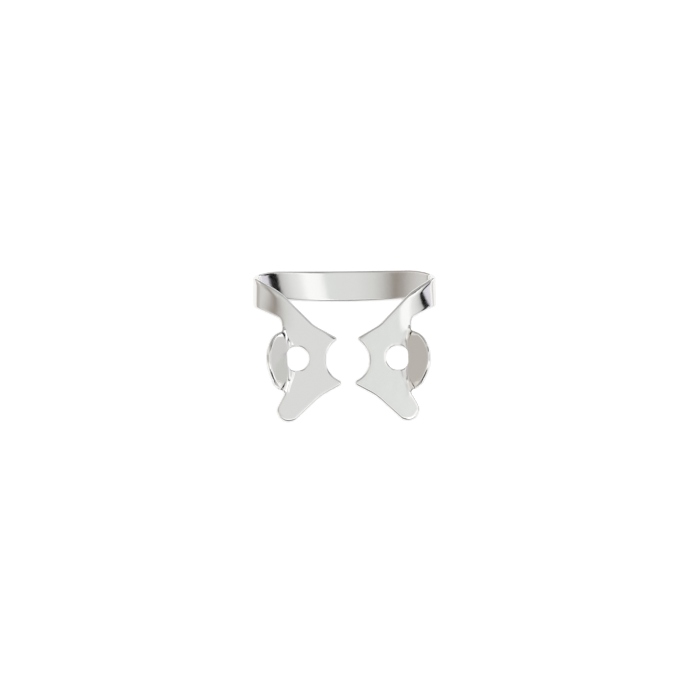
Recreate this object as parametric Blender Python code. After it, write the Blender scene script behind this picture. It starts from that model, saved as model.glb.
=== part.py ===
"""Rubber dam clamp: one stamped and formed sheet of spring steel.

The clamp is laid out as the flat blank it is stamped from, given its rounded (tumbled) edges there,
and then formed: the arms and the bow bend about lines that run mesio-distally, the central wings
fold toward the jaw side, and the anterior wings stay in the plane of the jaws.

Blank coordinates, in millimetres: u is the distance along the sheet from the plane between the two
jaws (the bow's middle is at the largest u), v runs mesio-distally (plus is distal, toward the bow).
World: +X to the clamp's side, +Y distal, +Z up. The clamp lies on its bow and on the tips of its two
anterior wings, as it comes to rest, with the jaws upward.
"""
import math

import bmesh
import bpy
import numpy as np
from mathutils import Vector
from mathutils.geometry import delaunay_2d_cdt

for old in list(bpy.data.objects):
    bpy.data.objects.remove(old, do_unlink=True)

# Sheet
THICKNESS = 0.85
EDGE_ROUND = 0.32
OVERALL_WIDTH = 26.0

# Forming of the bow and its arms, angles from the plane between the jaws
JAW_TILT = math.radians(4.0)
ARM_SLOPE = math.radians(25.0)
ARM_BEND_START = 7.2
ARM_BEND_RADIUS = 12.5
CORNER_RADIUS = 1.4
CROWN_END_SLOPE = math.radians(29.0)

# Central wings
WING_FOLD_START = 7.8
WING_FOLD_RADIUS = 1.2
WING_RISE = math.radians(43.0)
WING_CENTRE = (8.21, -2.15)
WING_RADIUS = 4.30

# Where the sheet passes from the fold of the central wing to the arm and to the anterior wing, in v
FOLD_RELIEF = 0.75
FOLD_RELIEF_DISTAL = (-0.6, 2.4)
FOLD_RELIEF_MESIAL = (-3.7, -6.5)
ARM_BLEND = (1.1, 3.3)
LOBE_BLEND = (-5.1, -6.7)

# Bow strip in the blank
BOW_DISTAL = 11.66
BOW_DISTAL_ARC = 190.0
BOW_MESIAL = 7.20
BOW_DISTAL_SHOULDER = 15.0
BOW_DISTAL_SHOULDER_RADIUS = 12.0
BOW_MESIAL_SHOULDER = 16.2
BOW_MESIAL_SHOULDER_RADIUS = 9.0

# Arm outline in the blank
ARM_DISTAL_KNEE = (9.3, 7.7)
ARM_DISTAL_KNEE_RADIUS = 8.0
ARM_DISTAL_ROOT = (4.6, 2.8)
ARM_DISTAL_ROOT_RADIUS = 4.0
ARM_MESIAL_ROOT = (9.2, 3.75)
ARM_MESIAL_ROOT_RADIUS = 1.15
WING_NOTCH = (9.12, 2.05)
WING_NOTCH_RADIUS = 0.30

# Jaw
JAW_ARC_CENTRE = (-0.2, -2.15)
JAW_ARC_RADIUS = 3.2
DISTAL_PRONG_SLOPE = math.radians(29.5)
DISTAL_PRONG_ROUND = 0.38
MESIAL_PRONG_SLOPE = math.radians(28.0)
MESIAL_PRONG_ROUND = 0.45
MESIAL_EDGE_KNEE = (3.85, -7.25)
MESIAL_EDGE_KNEE_RADIUS = 8.0

# Anterior wing
LOBE_CENTRE = (8.37, -9.15)
LOBE_RADIUS = 1.66
LOBE_EDGE_SLOPE = math.radians(41.0)
LOBE_NOTCH = (8.83, -6.55)
LOBE_NOTCH_RADIUS = 0.40

# Forceps hole
HOLE_CENTRE = (7.12, -1.87)
HOLE_DIAMETER = 3.35

# Mesh fineness, lengths in millimetres
ARC_STEP = math.radians(13.0)
ARC_CHORD = 1.1
LINE_STEP = 2.2
RIM_STEPS = 3
HOLE_SIDES = 28
SHORTEST_EDGE = 0.02
MERGE_GAP = 0.004
CUT_SNAP = 0.012
DIVISION_GAP = 1.0e-7
MITRE_LIMIT = 2.0
FLAT_ANGLE = math.radians(0.08)
SHARP_ANGLE = math.radians(40.0)
BEND_STEP = math.radians(9.0)
CROWN_STEP = math.radians(4.5)
WING_FOLD_CUTS = 9
ARM_BLEND_CUTS = 12
LOBE_BLEND_CUTS = 6
ARM_BLEND_LEAD = 1.6

# Search for the tilt at which the clamp lies
LEAST_TILT = math.radians(5.0)
MOST_TILT = math.radians(60.0)
TILT_HALVINGS = 60

MM = 0.001


def unit(vec):
    """The vector's direction."""
    return vec / np.linalg.norm(vec)


def arc_points(centre, radius, start, end):
    """Points of a circular arc, both ends kept."""
    count = max(2, int(math.ceil(abs(end - start) / ARC_STEP)), int(math.ceil(abs(end - start) * radius / ARC_CHORD)))
    return [np.array([centre[0] + radius * math.cos(start + (end - start) * i / count),
                      centre[1] + radius * math.sin(start + (end - start) * i / count)])
            for i in range(count + 1)]


def fillet(before, corner, after, radius):
    """The rounded corner between two straight runs."""
    corner = np.array(corner, dtype=float)
    to_before = unit(np.array(before, dtype=float) - corner)
    to_after = unit(np.array(after, dtype=float) - corner)
    half = 0.5 * math.acos(max(-1.0, min(1.0, float(np.dot(to_before, to_after)))))
    centre = corner + unit(to_before + to_after) * radius / math.sin(half)
    first = corner + to_before * radius / math.tan(half) - centre
    last = corner + to_after * radius / math.tan(half) - centre
    start = math.atan2(first[1], first[0])
    sweep = math.atan2(last[1], last[0]) - start
    sweep = (sweep + math.pi) % (2.0 * math.pi) - math.pi
    return arc_points(centre, radius, start, start + sweep)


def circle_line_fillet(point, direction, centre, circle_radius, radius, side, outside):
    """Centre of the round that touches a line and a circle.

    side puts the round's centre left (+1) or right (-1) of the line; outside puts it beyond the
    circle (+1) or within it (-1). Of the two answers the one nearer the line's point is given.
    """
    direction = unit(direction)
    normal = np.array([-direction[1], direction[0]]) * side
    origin = point + normal * radius - np.array(centre)
    reach = circle_radius + outside * radius
    half_b = float(np.dot(origin, direction))
    root = math.sqrt(half_b * half_b - float(np.dot(origin, origin)) + reach * reach)
    travel = min((-half_b + root, -half_b - root), key=abs)
    return point + normal * radius + direction * travel


def sweep_between(centre, first, last, turn):
    """Start and end angles of an arc about centre from first to last; turn is +1 anticlockwise."""
    start = math.atan2(first[1] - centre[1], first[0] - centre[0])
    end = math.atan2(last[1] - centre[1], last[0] - centre[0])
    while turn > 0 and end < start:
        end += 2.0 * math.pi
    while turn < 0 and end > start:
        end -= 2.0 * math.pi
    return start, end


# The bend line lengths that follow from the sizes above
HALF_WIDTH = 0.5 * OVERALL_WIDTH - 0.5 * THICKNESS
CROWN_RADIUS = ((HALF_WIDTH - CORNER_RADIUS * (1.0 - math.sin(CROWN_END_SLOPE))) / math.sin(CROWN_END_SLOPE))
ARM_BEND_LENGTH = ARM_BEND_RADIUS * (ARM_SLOPE - JAW_TILT)
ARM_LENGTH = ((HALF_WIDTH - CORNER_RADIUS * (1.0 - math.sin(ARM_SLOPE))
               - ARM_BEND_START * math.cos(JAW_TILT)
               - ARM_BEND_RADIUS * (math.sin(ARM_SLOPE) - math.sin(JAW_TILT))) / math.cos(ARM_SLOPE))
CORNER_LENGTH = CORNER_RADIUS * (math.pi - ARM_SLOPE - CROWN_END_SLOPE)
CROWN_LENGTH = CROWN_RADIUS * CROWN_END_SLOPE
BLANK_HALF = ARM_BEND_START + ARM_BEND_LENGTH + ARM_LENGTH + CORNER_LENGTH + CROWN_LENGTH


def half_outline():
    """Outline of one half of the blank, from the bow's distal edge round the jaw to its mesial edge."""
    # the bow's distal edge, and the round that leads over into the arm
    bow_centre = np.array([BLANK_HALF, BOW_DISTAL - BOW_DISTAL_ARC])
    half_reach = math.asin((BLANK_HALF - BOW_DISTAL_SHOULDER) / BOW_DISTAL_ARC)
    shoulder = bow_centre + BOW_DISTAL_ARC * np.array([-math.sin(half_reach), math.cos(half_reach)])
    run = unit(np.array(ARM_DISTAL_KNEE) - shoulder)
    turn_in = circle_line_fillet(shoulder, run, bow_centre, BOW_DISTAL_ARC, BOW_DISTAL_SHOULDER_RADIUS, 1, -1)
    on_arc = bow_centre + unit(turn_in - bow_centre) * BOW_DISTAL_ARC
    on_line = turn_in - np.array([-run[1], run[0]]) * BOW_DISTAL_SHOULDER_RADIUS
    middle = bow_centre + np.array([0.0, BOW_DISTAL_ARC])
    path = arc_points(bow_centre, BOW_DISTAL_ARC, *sweep_between(bow_centre, middle, on_arc, 1))
    path += arc_points(turn_in, BOW_DISTAL_SHOULDER_RADIUS, *sweep_between(turn_in, on_arc, on_line, 1))[1:]
    path += fillet(shoulder, ARM_DISTAL_KNEE, ARM_DISTAL_ROOT, ARM_DISTAL_KNEE_RADIUS)
    root = np.array(ARM_DISTAL_ROOT)
    prong_run = np.array([-math.cos(DISTAL_PRONG_SLOPE), -math.sin(DISTAL_PRONG_SLOPE)])
    path += fillet(ARM_DISTAL_KNEE, root, root + prong_run, ARM_DISTAL_ROOT_RADIUS)

    # distal prong: a small round between the straight edge and the jaw arc
    jaw = np.array(JAW_ARC_CENTRE)
    tip = circle_line_fillet(root, prong_run, jaw, JAW_ARC_RADIUS, DISTAL_PRONG_ROUND, 1, 1)
    on_line = tip - np.array([-prong_run[1], prong_run[0]]) * DISTAL_PRONG_ROUND
    on_arc = jaw + unit(tip - jaw) * JAW_ARC_RADIUS
    path += arc_points(tip, DISTAL_PRONG_ROUND, *sweep_between(tip, on_line, on_arc, 1))

    # jaw arc, then the mesial prong
    knee = np.array(MESIAL_EDGE_KNEE)
    mesial_run = np.array([-math.cos(MESIAL_PRONG_SLOPE), math.sin(MESIAL_PRONG_SLOPE)])
    low_tip = circle_line_fillet(knee, mesial_run, jaw, JAW_ARC_RADIUS, MESIAL_PRONG_ROUND, -1, 1)
    low_on_arc = jaw + unit(low_tip - jaw) * JAW_ARC_RADIUS
    low_on_line = low_tip + np.array([-mesial_run[1], mesial_run[0]]) * MESIAL_PRONG_ROUND
    path += arc_points(jaw, JAW_ARC_RADIUS, *sweep_between(jaw, on_arc, low_on_arc, -1))[1:]
    path += arc_points(low_tip, MESIAL_PRONG_ROUND, *sweep_between(low_tip, low_on_arc, low_on_line, 1))[1:]

    # mesial edge to the anterior wing's round end
    lobe = np.array(LOBE_CENTRE)
    lobe_in = lobe + np.array([-math.sin(LOBE_EDGE_SLOPE), -math.cos(LOBE_EDGE_SLOPE)]) * LOBE_RADIUS
    path += fillet(low_on_line, knee, lobe_in, MESIAL_EDGE_KNEE_RADIUS)
    notch = np.array(LOBE_NOTCH)
    reach = np.linalg.norm(notch - lobe)
    lean = math.acos(LOBE_RADIUS / reach)
    aim = math.atan2(notch[1] - lobe[1], notch[0] - lobe[0])
    lobe_out = lobe + LOBE_RADIUS * np.array([math.cos(aim - lean), math.sin(aim - lean)])
    path += arc_points(lobe, LOBE_RADIUS, *sweep_between(lobe, lobe_in, lobe_out, 1))

    # notch between the anterior and the central wing, then the central wing's rim
    wing = np.array(WING_CENTRE)
    up_run = unit(notch - lobe_out)
    round_in = circle_line_fillet(notch, up_run, wing, WING_RADIUS, LOBE_NOTCH_RADIUS, -1, 1)
    in_line = round_in + np.array([-up_run[1], up_run[0]]) * LOBE_NOTCH_RADIUS
    in_wing = wing + unit(round_in - wing) * WING_RADIUS
    path += arc_points(round_in, LOBE_NOTCH_RADIUS, *sweep_between(round_in, in_line, in_wing, -1))
    upper = np.array(WING_NOTCH)
    arm_root = np.array(ARM_MESIAL_ROOT)
    up_run = unit(arm_root - upper)
    round_out = circle_line_fillet(upper, up_run, wing, WING_RADIUS, WING_NOTCH_RADIUS, -1, 1)
    out_wing = wing + unit(round_out - wing) * WING_RADIUS
    out_line = round_out + np.array([-up_run[1], up_run[0]]) * WING_NOTCH_RADIUS
    path += arc_points(wing, WING_RADIUS, *sweep_between(wing, in_wing, out_wing, 1))[1:]
    path += arc_points(round_out, WING_NOTCH_RADIUS, *sweep_between(round_out, out_wing, out_line, -1))[1:]

    # mesial edge of the arm back to the bow
    low_shoulder = (BOW_MESIAL_SHOULDER, BOW_MESIAL)
    path += fillet(upper, arm_root, low_shoulder, ARM_MESIAL_ROOT_RADIUS)
    path += fillet(arm_root, low_shoulder, (BLANK_HALF, BOW_MESIAL), BOW_MESIAL_SHOULDER_RADIUS)
    path.append(np.array([BLANK_HALF, BOW_MESIAL]))
    return path


def evenly(path, closed):
    """The path without repeated points and with long straight runs divided."""
    clean = [path[0]]
    for point in path[1:]:
        if np.linalg.norm(point - clean[-1]) > SHORTEST_EDGE:
            clean.append(point)
    if closed and np.linalg.norm(clean[0] - clean[-1]) < SHORTEST_EDGE:
        clean.pop()
    out = []
    count = len(clean)
    last = count if closed else count - 1
    for i in range(last):
        start, end = clean[i], clean[(i + 1) % count]
        parts = max(1, int(round(np.linalg.norm(end - start) / LINE_STEP)))
        out += [start + (end - start) * k / parts for k in range(parts)]
    if not closed:
        out.append(clean[-1])
    return np.array(out)


def blend(value, span):
    """0 to 1 with level ends over a span."""
    share = np.clip((value - span[0]) / (span[1] - span[0]), 0.0, 1.0)
    return share * share * (3.0 - 2.0 * share)


def bend_run(travel, start_angle, radius, sign):
    """Advance (outward, downward) of a bend after a travel along the sheet; sign +1 turns downward."""
    angle = start_angle + sign * travel / radius
    outward = sign * radius * (np.sin(angle) - math.sin(start_angle))
    downward = sign * radius * (math.cos(start_angle) - np.cos(angle))
    return outward, downward, angle


def form_arm(u, h):
    """Side view of the jaw, arm, corner and bow for the sheet's u and height h off its middle."""
    on_jaw = np.minimum(u, ARM_BEND_START)
    x = on_jaw * math.cos(JAW_TILT)
    down = on_jaw * math.sin(JAW_TILT)
    left = np.maximum(u - ARM_BEND_START, 0.0)
    step = np.minimum(left, ARM_BEND_LENGTH)
    dx, dz, angle = bend_run(step, JAW_TILT, ARM_BEND_RADIUS, 1.0)
    x, down = x + dx, down + dz
    left = np.maximum(left - ARM_BEND_LENGTH, 0.0)
    step = np.minimum(left, ARM_LENGTH)
    x, down = x + step * math.cos(ARM_SLOPE), down + step * math.sin(ARM_SLOPE)
    left = np.maximum(left - ARM_LENGTH, 0.0)
    step = np.minimum(left, CORNER_LENGTH)
    dx, dz, corner = bend_run(step, ARM_SLOPE, CORNER_RADIUS, 1.0)
    x, down = x + dx, down + dz
    angle = angle + (corner - ARM_SLOPE)
    left = np.maximum(left - CORNER_LENGTH, 0.0)
    dx, dz, crown = bend_run(left, math.pi - CROWN_END_SLOPE, CROWN_RADIUS, 1.0)
    x, down = x + dx, down + dz
    angle = angle + (crown - math.pi + CROWN_END_SLOPE)
    return x + h * np.sin(angle), -down + h * np.cos(angle)


def form_wing(u, h, start):
    """Side view of the jaw and the central wing that folds up from it."""
    on_jaw = np.minimum(u, start)
    x = on_jaw * math.cos(JAW_TILT)
    down = on_jaw * math.sin(JAW_TILT)
    left = np.maximum(u - start, 0.0)
    length = WING_FOLD_RADIUS * (JAW_TILT + WING_RISE)
    step = np.minimum(left, length)
    dx, dz, angle = bend_run(step, JAW_TILT, WING_FOLD_RADIUS, -1.0)
    x, down = x + dx, down + dz
    left = np.maximum(left - length, 0.0)
    x, down = x + left * math.cos(WING_RISE), down - left * math.sin(WING_RISE)
    return x + h * np.sin(angle), -down + h * np.cos(angle)


def form(points):
    """Forms points (s, v, h) of the flat blank; s runs from one jaw over the bow to the other."""
    side = np.where(points[:, 0] < 0.0, -1.0, 1.0)
    u = BLANK_HALF - np.abs(points[:, 0])
    v = points[:, 1]
    h = points[:, 2]
    flat_x = u * math.cos(JAW_TILT) + h * math.sin(JAW_TILT)
    flat_z = -u * math.sin(JAW_TILT) + h * math.cos(JAW_TILT)
    arm_x, arm_z = form_arm(u, h)
    # the fold starts a little farther out beside the notches that relieve it
    relief = blend(v, FOLD_RELIEF_DISTAL) + blend(v, FOLD_RELIEF_MESIAL)
    start = WING_FOLD_START + FOLD_RELIEF * relief
    wing_x, wing_z = form_wing(u, h, start)
    is_arm = blend(v, ARM_BLEND)
    is_lobe = blend(v, LOBE_BLEND)
    is_wing = 1.0 - is_arm - is_lobe
    x = is_arm * arm_x + is_lobe * flat_x + is_wing * wing_x
    z = is_arm * arm_z + is_lobe * flat_z + is_wing * wing_z
    return np.stack([side * x, v, z], axis=1)


def outward_normals(loop):
    """Normals to the right of a closed path's direction."""
    ahead = np.roll(loop, -1, axis=0) - loop
    behind = loop - np.roll(loop, 1, axis=0)
    ahead /= np.linalg.norm(ahead, axis=1)[:, None]
    behind /= np.linalg.norm(behind, axis=1)[:, None]
    tangent = ahead + behind
    tangent /= np.linalg.norm(tangent, axis=1)[:, None]
    stretch = np.minimum(MITRE_LIMIT, 1.0 / np.einsum("ij,ij->i", tangent, ahead))
    return np.stack([tangent[:, 1], -tangent[:, 0]], axis=1) * stretch[:, None]


def rim_profile():
    """Rounded edge of the sheet, from its jaw-side face to its bow-side face, as (inset, height)."""
    half = 0.5 * THICKNESS
    quarter = [(EDGE_ROUND * (1.0 - math.sin(a)), half - EDGE_ROUND * (1.0 - math.cos(a)))
               for a in [0.5 * math.pi * k / RIM_STEPS for k in range(RIM_STEPS + 1)]]
    return quarter + [(inset, -height) for inset, height in reversed(quarter)]


def blank_mesh():
    """The flat blank as a closed mesh in (s, v, h)."""
    half = evenly(half_outline(), False)
    outline = [(BLANK_HALF - p[0], p[1]) for p in half]
    # the half path runs anticlockwise in (u, v); in s it is kept for one side and mirrored for the other
    right = np.array(outline)[::-1]
    left = np.array([(-p[0], p[1]) for p in outline])
    outer = np.array(list(right[:-1]) + list(left[:-1]))
    loops = [outer]
    for side in (-1.0, 1.0):
        turn = [-2.0 * math.pi * k / HOLE_SIDES for k in range(HOLE_SIDES)]
        loops.append(np.array([(side * (BLANK_HALF - HOLE_CENTRE[0]) + 0.5 * HOLE_DIAMETER * math.cos(a),
                                HOLE_CENTRE[1] + 0.5 * HOLE_DIAMETER * math.sin(a)) for a in turn]))
    area = 0.5 * np.sum(outer[:, 0] * np.roll(outer[:, 1], -1) - np.roll(outer[:, 0], -1) * outer[:, 1])
    if area < 0.0:
        loops[0] = outer[::-1]

    mesh = bmesh.new()
    profile = rim_profile()
    flat_points, flat_edges, top_ring, low_ring = [], [], [], []
    for loop in loops:
        normals = outward_normals(loop)
        rings = []
        for inset, height in profile:
            rings.append([mesh.verts.new((p[0] - n[0] * inset, p[1] - n[1] * inset, height))
                          for p, n in zip(loop, normals)])
        count = len(loop)
        for upper, lower in zip(rings[:-1], rings[1:]):
            for i in range(count):
                j = (i + 1) % count
                mesh.faces.new((upper[i], lower[i], lower[j], upper[j]))
        base = len(flat_points)
        flat_points += [Vector((vert.co.x, vert.co.y)) for vert in rings[0]]
        flat_edges += [(base + i, base + (i + 1) % count) for i in range(count)]
        top_ring += rings[0]
        low_ring += rings[-1]

    _, _, triangles, origins, _, _ = delaunay_2d_cdt(flat_points, flat_edges, [], 1, DIVISION_GAP)
    rim_count = len(loops[0])
    for triangle in triangles:
        spots = [origins[i][0] for i in triangle]
        # a triangle with all its corners on one hole's rim lies in the hole
        if min(spots) >= rim_count and len({(i - rim_count) // len(loops[1]) for i in spots}) == 1:
            continue
        a, b, c = (flat_points[i] for i in spots)
        if (b - a).cross(c - a) < 0.0:
            spots.reverse()
        mesh.faces.new([top_ring[i] for i in spots])
        mesh.faces.new([low_ring[i] for i in reversed(spots)])
    return mesh


def cut(mesh, axis, place, span):
    """Divides the mesh along a line of the blank where its faces' middles lie within a span of v."""
    where = Vector((0.0, 0.0, 0.0))
    where[axis] = place
    normal = Vector((0.0, 0.0, 0.0))
    normal[axis] = 1.0
    faces = [face for face in mesh.faces if span[0] <= face.calc_center_median().y <= span[1]]
    edges = {edge for face in faces for edge in face.edges}
    verts = {vert for face in faces for vert in face.verts}
    bmesh.ops.bisect_plane(mesh, geom=list(verts) + list(edges) + faces, dist=CUT_SNAP,
                           plane_co=where, plane_no=normal)


def bend_lines():
    """Places in u where the sheet is divided for the bends of the arm, the corner and the bow."""
    lines = []
    start = ARM_BEND_START
    runs = ((ARM_BEND_LENGTH, ARM_BEND_RADIUS, BEND_STEP), (ARM_LENGTH, None, None),
            (CORNER_LENGTH, CORNER_RADIUS, BEND_STEP), (CROWN_LENGTH, CROWN_RADIUS, CROWN_STEP))
    for length, radius, step in runs:
        count = 1 if radius is None else max(1, int(math.ceil(length / radius / step)))
        lines += [start + length * k / count for k in range(count)]
        start += length
    lines.append(BLANK_HALF)
    return lines


def wing_lines():
    """Places in u where the sheet is divided for the central wing's fold."""
    length = WING_FOLD_RADIUS * (JAW_TILT + WING_RISE)
    reach = length + FOLD_RELIEF
    return [WING_FOLD_START + reach * k / WING_FOLD_CUTS for k in range(WING_FOLD_CUTS + 1)]


clamp_mesh = blank_mesh()
WHOLE = (-BLANK_HALF, BLANK_HALF)
for place in np.linspace(LOBE_BLEND[1], LOBE_BLEND[0], LOBE_BLEND_CUTS):
    cut(clamp_mesh, 1, place, WHOLE)
for place in np.linspace(ARM_BLEND[0] - ARM_BLEND_LEAD, ARM_BLEND[1], ARM_BLEND_CUTS):
    cut(clamp_mesh, 1, place, WHOLE)
for side in (-1.0, 1.0):
    for place in wing_lines():
        cut(clamp_mesh, 0, side * (BLANK_HALF - place), (LOBE_BLEND[1], ARM_BLEND[1]))
    for place in bend_lines()[:-1]:
        cut(clamp_mesh, 0, side * (BLANK_HALF - place), (ARM_BLEND[1], BLANK_HALF))
cut(clamp_mesh, 0, 0.0, WHOLE)

# forming
clamp_mesh.verts.ensure_lookup_table()
flat = np.array([vert.co[:] for vert in clamp_mesh.verts])
formed = form(flat)

# the tilt at which the bow's mesial edge and both anterior wings touch the floor
bow = np.abs(flat[:, 0]) < 0.5 * BLANK_HALF
lobe = flat[:, 1] < LOBE_BLEND[1]
low, high = LEAST_TILT, MOST_TILT
for _ in range(TILT_HALVINGS):
    tilt = 0.5 * (low + high)
    height = formed[:, 1] * math.sin(tilt) + formed[:, 2] * math.cos(tilt)
    if height[bow].min() < height[lobe].min():
        low = tilt
    else:
        high = tilt
lying = np.stack([formed[:, 0],
                  formed[:, 1] * math.cos(tilt) - formed[:, 2] * math.sin(tilt),
                  formed[:, 1] * math.sin(tilt) + formed[:, 2] * math.cos(tilt)], axis=1)
lying[:, 1] -= 0.5 * (lying[:, 1].min() + lying[:, 1].max())
lying[:, 2] -= lying[:, 2].min()
for vert, spot in zip(clamp_mesh.verts, lying):
    vert.co = spot

bmesh.ops.dissolve_degenerate(clamp_mesh, dist=MERGE_GAP, edges=clamp_mesh.edges[:])
bmesh.ops.dissolve_limit(clamp_mesh, angle_limit=FLAT_ANGLE, verts=clamp_mesh.verts[:],
                         edges=clamp_mesh.edges[:])
bmesh.ops.triangulate(clamp_mesh, faces=clamp_mesh.faces[:], quad_method="BEAUTY", ngon_method="BEAUTY")
bmesh.ops.recalc_face_normals(clamp_mesh, faces=clamp_mesh.faces[:])
bmesh.ops.scale(clamp_mesh, vec=(MM, MM, MM), verts=clamp_mesh.verts[:])

steel = bpy.data.materials.new("polished_spring_steel")
steel.use_nodes = True
shader = steel.node_tree.nodes["Principled BSDF"]
shader.inputs["Base Color"].default_value = (0.62, 0.62, 0.61, 1.0)
shader.inputs["Metallic"].default_value = 1.0
shader.inputs["Roughness"].default_value = 0.16

data = bpy.data.meshes.new("clamp")
clamp_mesh.to_mesh(data)
clamp_mesh.free()
data.materials.append(steel)
data.shade_smooth()
data.set_sharp_from_angle(angle=SHARP_ANGLE)
clamp = bpy.data.objects.new("clamp", data)
bpy.context.scene.collection.objects.link(clamp)
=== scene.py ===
"""Rubber dam clamp of spring steel: its formed sheet, its finish, the light tent and the camera.

The clamp is laid out as the flat blank that the press stamps from sheet, with its tumbled edges, and a
Geometry Nodes tree then forms it by the maker's bending rule. Blank coordinates in millimetres: u is
the distance along the sheet from the plane between the two jaws, v runs from mesial to distal.
"""
import math

import bpy
import numpy as np
from mathutils import Matrix, Vector
from mathutils.geometry import delaunay_2d_cdt


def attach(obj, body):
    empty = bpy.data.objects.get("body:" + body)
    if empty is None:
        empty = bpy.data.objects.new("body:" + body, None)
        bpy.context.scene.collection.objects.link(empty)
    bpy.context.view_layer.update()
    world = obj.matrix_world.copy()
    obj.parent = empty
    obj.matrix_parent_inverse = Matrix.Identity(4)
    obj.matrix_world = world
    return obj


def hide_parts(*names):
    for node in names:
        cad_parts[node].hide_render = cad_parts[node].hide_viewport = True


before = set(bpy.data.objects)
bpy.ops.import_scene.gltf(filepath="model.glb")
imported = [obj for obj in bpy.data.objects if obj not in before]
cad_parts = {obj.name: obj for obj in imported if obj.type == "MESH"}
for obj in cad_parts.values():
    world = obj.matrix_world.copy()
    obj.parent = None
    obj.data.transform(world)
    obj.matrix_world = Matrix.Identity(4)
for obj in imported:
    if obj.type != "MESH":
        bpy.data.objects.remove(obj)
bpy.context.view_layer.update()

MM = 0.001
DEGREE = math.pi / 180.0

# Sheet and its tumbled edges
THICKNESS = 0.85
EDGE_ROUND = 0.32
OVERALL_WIDTH = 26.0

# Forming of the arms and the bow
JAW_TILT = 4.0 * DEGREE
ARM_SLOPE = 25.0 * DEGREE
ARM_BEND_START = 7.2
ARM_BEND_RADIUS = 12.5
CORNER_RADIUS = 1.4
CROWN_END_SLOPE = 29.0 * DEGREE
LYING_TILT = 20.3805 * DEGREE

# Central wings
WING_FOLD_START = 7.8
WING_FOLD_RADIUS = 1.2
WING_RISE = 43.0 * DEGREE
WING_CENTRE = (8.21, -2.15)
WING_RADIUS = 4.30
FOLD_RELIEF = 0.75
FOLD_RELIEF_DISTAL = (-0.6, 2.4)
FOLD_RELIEF_MESIAL = (-3.7, -6.5)
ARM_BLEND = (1.1, 3.3)
LOBE_BLEND = (-5.1, -6.7)

# Bow strip in the blank
BOW_DISTAL = 11.66
BOW_DISTAL_ARC = 190.0
BOW_MESIAL = 7.20
BOW_DISTAL_SHOULDER = 15.0
BOW_DISTAL_SHOULDER_RADIUS = 12.0
BOW_MESIAL_SHOULDER = 16.2
BOW_MESIAL_SHOULDER_RADIUS = 9.0

# Arm outline in the blank
ARM_DISTAL_KNEE = (9.3, 7.7)
ARM_DISTAL_KNEE_RADIUS = 8.0
ARM_DISTAL_ROOT = (4.6, 2.8)
ARM_DISTAL_ROOT_RADIUS = 4.0
ARM_MESIAL_ROOT = (9.2, 3.75)
ARM_MESIAL_ROOT_RADIUS = 1.15
WING_NOTCH = (9.12, 2.05)
WING_NOTCH_RADIUS = 0.30

# Jaw
JAW_ARC_CENTRE = (-0.2, -2.15)
JAW_ARC_RADIUS = 3.2
DISTAL_PRONG_SLOPE = 29.5 * DEGREE
DISTAL_PRONG_ROUND = 0.38
MESIAL_PRONG_SLOPE = 28.0 * DEGREE
MESIAL_PRONG_ROUND = 0.45
MESIAL_EDGE_KNEE = (3.85, -7.25)
MESIAL_EDGE_KNEE_RADIUS = 8.0

# Anterior wing and forceps hole
LOBE_CENTRE = (8.37, -9.15)
LOBE_RADIUS = 1.66
LOBE_EDGE_SLOPE = 41.0 * DEGREE
LOBE_NOTCH = (8.83, -6.55)
LOBE_NOTCH_RADIUS = 0.40
HOLE_CENTRE = (7.12, -1.87)
HOLE_DIAMETER = 3.35

# Fineness of the finished surface
RIM_SPACING = 0.13
RIM_STEPS = 7
FACE_SPACING = 0.20
FACE_MARGIN = 0.10
FACE_REACH = (-11.5, 12.5)
FINE_AT_FOLD = (7.4, 10.2)
FINE_PAST_CORNER = 0.3

# What the bends take up of the blank's length
HALF_WIDTH = 0.5 * OVERALL_WIDTH - 0.5 * THICKNESS
CROWN_RADIUS = (HALF_WIDTH - CORNER_RADIUS * (1.0 - math.sin(CROWN_END_SLOPE))) / math.sin(CROWN_END_SLOPE)
ARM_BEND_END = ARM_BEND_START + ARM_BEND_RADIUS * (ARM_SLOPE - JAW_TILT)
ARM_REACH = (HALF_WIDTH - CORNER_RADIUS * (1.0 - math.sin(ARM_SLOPE)) - ARM_BEND_START * math.cos(JAW_TILT)
             - ARM_BEND_RADIUS * (math.sin(ARM_SLOPE) - math.sin(JAW_TILT)))
CORNER_START = ARM_BEND_END + ARM_REACH / math.cos(ARM_SLOPE)
CORNER_END = CORNER_START + CORNER_RADIUS * (math.pi - ARM_SLOPE - CROWN_END_SLOPE)
BLANK_HALF = CORNER_END + CROWN_RADIUS * CROWN_END_SLOPE


def unit(vec):
    """The vector's direction."""
    return vec / np.linalg.norm(vec)


def direction(angle):
    """Unit vector at an angle from the u axis."""
    return np.array([math.cos(angle), math.sin(angle)])


def left_of(run):
    """The direction to the left of a run."""
    return np.array([-run[1], run[0]])


def arc(centre, radius, start, end):
    """Points of a circular arc at the rim's spacing."""
    count = max(4, int(math.ceil(abs(end - start) * radius / RIM_SPACING)))
    return [np.array(centre) + radius * direction(start + (end - start) * i / count)
            for i in range(count + 1)]


def arc_between(centre, first, last, turn):
    """The arc about a centre from one point to another; turn is +1 anticlockwise."""
    radius = np.linalg.norm(np.array(first) - centre)
    start = math.atan2(first[1] - centre[1], first[0] - centre[0])
    end = math.atan2(last[1] - centre[1], last[0] - centre[0])
    while turn > 0 and end < start:
        end += 2.0 * math.pi
    while turn < 0 and end > start:
        end -= 2.0 * math.pi
    return arc(centre, radius, start, end)


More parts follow.
